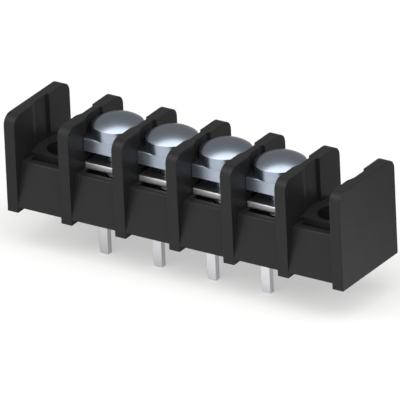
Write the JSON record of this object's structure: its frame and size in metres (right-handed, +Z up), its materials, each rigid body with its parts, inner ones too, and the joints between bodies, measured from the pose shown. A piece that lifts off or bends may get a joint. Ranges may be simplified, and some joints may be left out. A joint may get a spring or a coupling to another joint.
{
  "type": "pcb terminal block",
  "caption": "Barrier terminal block for a circuit board, with clamp screws in the inner bays, solder pins below and an open mounting bay at each end.",
  "frame": {"origin": "centre of the seating plane under the barrier feet, at mid-length and mid-depth", "axes": "+X along the row of bays, -Y towards the front where the wires enter, +Z up towards the screw heads"},
  "size_m": [0.059, 0.015, 0.0215],
  "materials": {
    "housing": "moulded black",
    "terminal": "tin-plated",
    "clamp": "zinc-plated",
    "screw": "zinc-plated"
  },
  "bodies": {
    "block": {"housing": "housing", "terminal_1": "terminal", "terminal_2": "terminal", "terminal_3": "terminal", "terminal_4": "terminal"},
    "clamp_1": {"wire_clamp_1": "clamp"},
    "screw_1": {"clamp_screw_1": "screw"},
    "clamp_2": {"wire_clamp_2": "clamp"},
    "screw_2": {"clamp_screw_2": "screw"},
    "clamp_3": {"wire_clamp_3": "clamp"},
    "screw_3": {"clamp_screw_3": "screw"},
    "clamp_4": {"wire_clamp_4": "clamp"},
    "screw_4": {"clamp_screw_4": "screw"}
  },
  "joints": [
    {"name": "clamp_1_lift", "type": "slide", "parent": "block", "child": "clamp_1", "axis": [0, 0, 1], "range_m": [-0.00178, 0.0015]},
    {"name": "screw_1_turn", "type": "hinge", "parent": "clamp_1", "child": "screw_1", "pos_m": [-0.01429, 0.0002, 0.012], "axis": [0, 0, 1], "range_deg": [-918, 774]},
    {"name": "clamp_2_lift", "type": "slide", "parent": "block", "child": "clamp_2", "axis": [0, 0, 1], "range_m": [-0.00178, 0.0015]},
    {"name": "screw_2_turn", "type": "hinge", "parent": "clamp_2", "child": "screw_2", "pos_m": [-0.00476, 0.0002, 0.012], "axis": [0, 0, 1], "range_deg": [-918, 774]},
    {"name": "clamp_3_lift", "type": "slide", "parent": "block", "child": "clamp_3", "axis": [0, 0, 1], "range_m": [-0.00178, 0.0015]},
    {"name": "screw_3_turn", "type": "hinge", "parent": "clamp_3", "child": "screw_3", "pos_m": [0.00476, 0.0002, 0.012], "axis": [0, 0, 1], "range_deg": [-918, 774]},
    {"name": "clamp_4_lift", "type": "slide", "parent": "block", "child": "clamp_4", "axis": [0, 0, 1], "range_m": [-0.00178, 0.0015]},
    {"name": "screw_4_turn", "type": "hinge", "parent": "clamp_4", "child": "screw_4", "pos_m": [0.01429, 0.0002, 0.012], "axis": [0, 0, 1], "range_deg": [-918, 774]}
  ],
  "couplings": [
    {"joint": "screw_1_turn", "follows": "clamp_1_lift", "rad_per_m": 8976},
    {"joint": "screw_2_turn", "follows": "clamp_2_lift", "rad_per_m": 8976},
    {"joint": "screw_3_turn", "follows": "clamp_3_lift", "rad_per_m": 8976},
    {"joint": "screw_4_turn", "follows": "clamp_4_lift", "rad_per_m": 8976}
  ]
}
